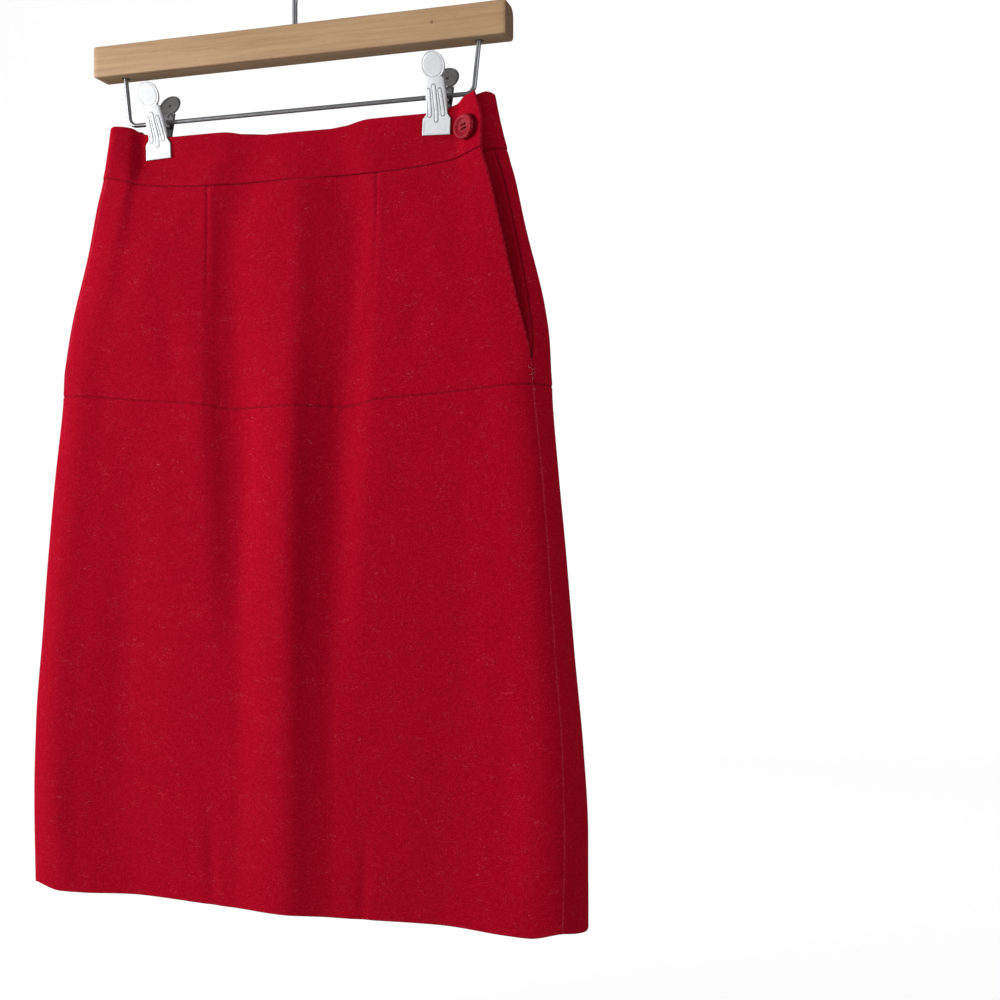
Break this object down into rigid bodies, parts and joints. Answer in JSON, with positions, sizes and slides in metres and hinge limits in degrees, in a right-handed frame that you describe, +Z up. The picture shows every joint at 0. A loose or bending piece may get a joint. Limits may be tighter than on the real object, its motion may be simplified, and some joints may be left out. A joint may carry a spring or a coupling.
{
  "type": "a-line midi skirt on a wooden clip hanger",
  "caption": "Red wool A-line midi skirt with a hip yoke, a darted front and a buttoned side placket, hanging by its waistband from a wooden clip hanger.",
  "frame": {"origin": "the inside top of the hanger's hook, where a rail or a peg holds it", "axes": "+Z up; the skirt's front faces -Y; +X is the wearer's left, where the placket and its button are"},
  "size_m": [0.476, 0.0655, 0.7814],
  "materials": {
    "red_wool": "matt brushed wool cloth with a short nap",
    "button_red": "moulded resin with a soft shine and a fine pale speckle",
    "pale_wood": "natural, lightly lacquered",
    "bright_steel": "bright plated wire",
    "plated_steel": "satin plated sheet",
    "dull_steel": "dull plated sheet"
  },
  "bodies": {
    "root": {"back_skirt": "red_wool", "back_yoke": "red_wool", "button": "button_red", "clip_front_left": "plated_steel", "clip_front_right": "plated_steel", "clip_rear_left": "dull_steel", "clip_rear_right": "dull_steel", "clip_spring_left": "bright_steel", "clip_spring_right": "bright_steel", "front_skirt": "red_wool", "front_yoke": "red_wool", "hanger_bar": "pale_wood", "hanger_hook": "bright_steel", "hanger_wire": "bright_steel", "placket_underlay": "red_wool", "waistband": "red_wool"}
  },
  "joints": []
}
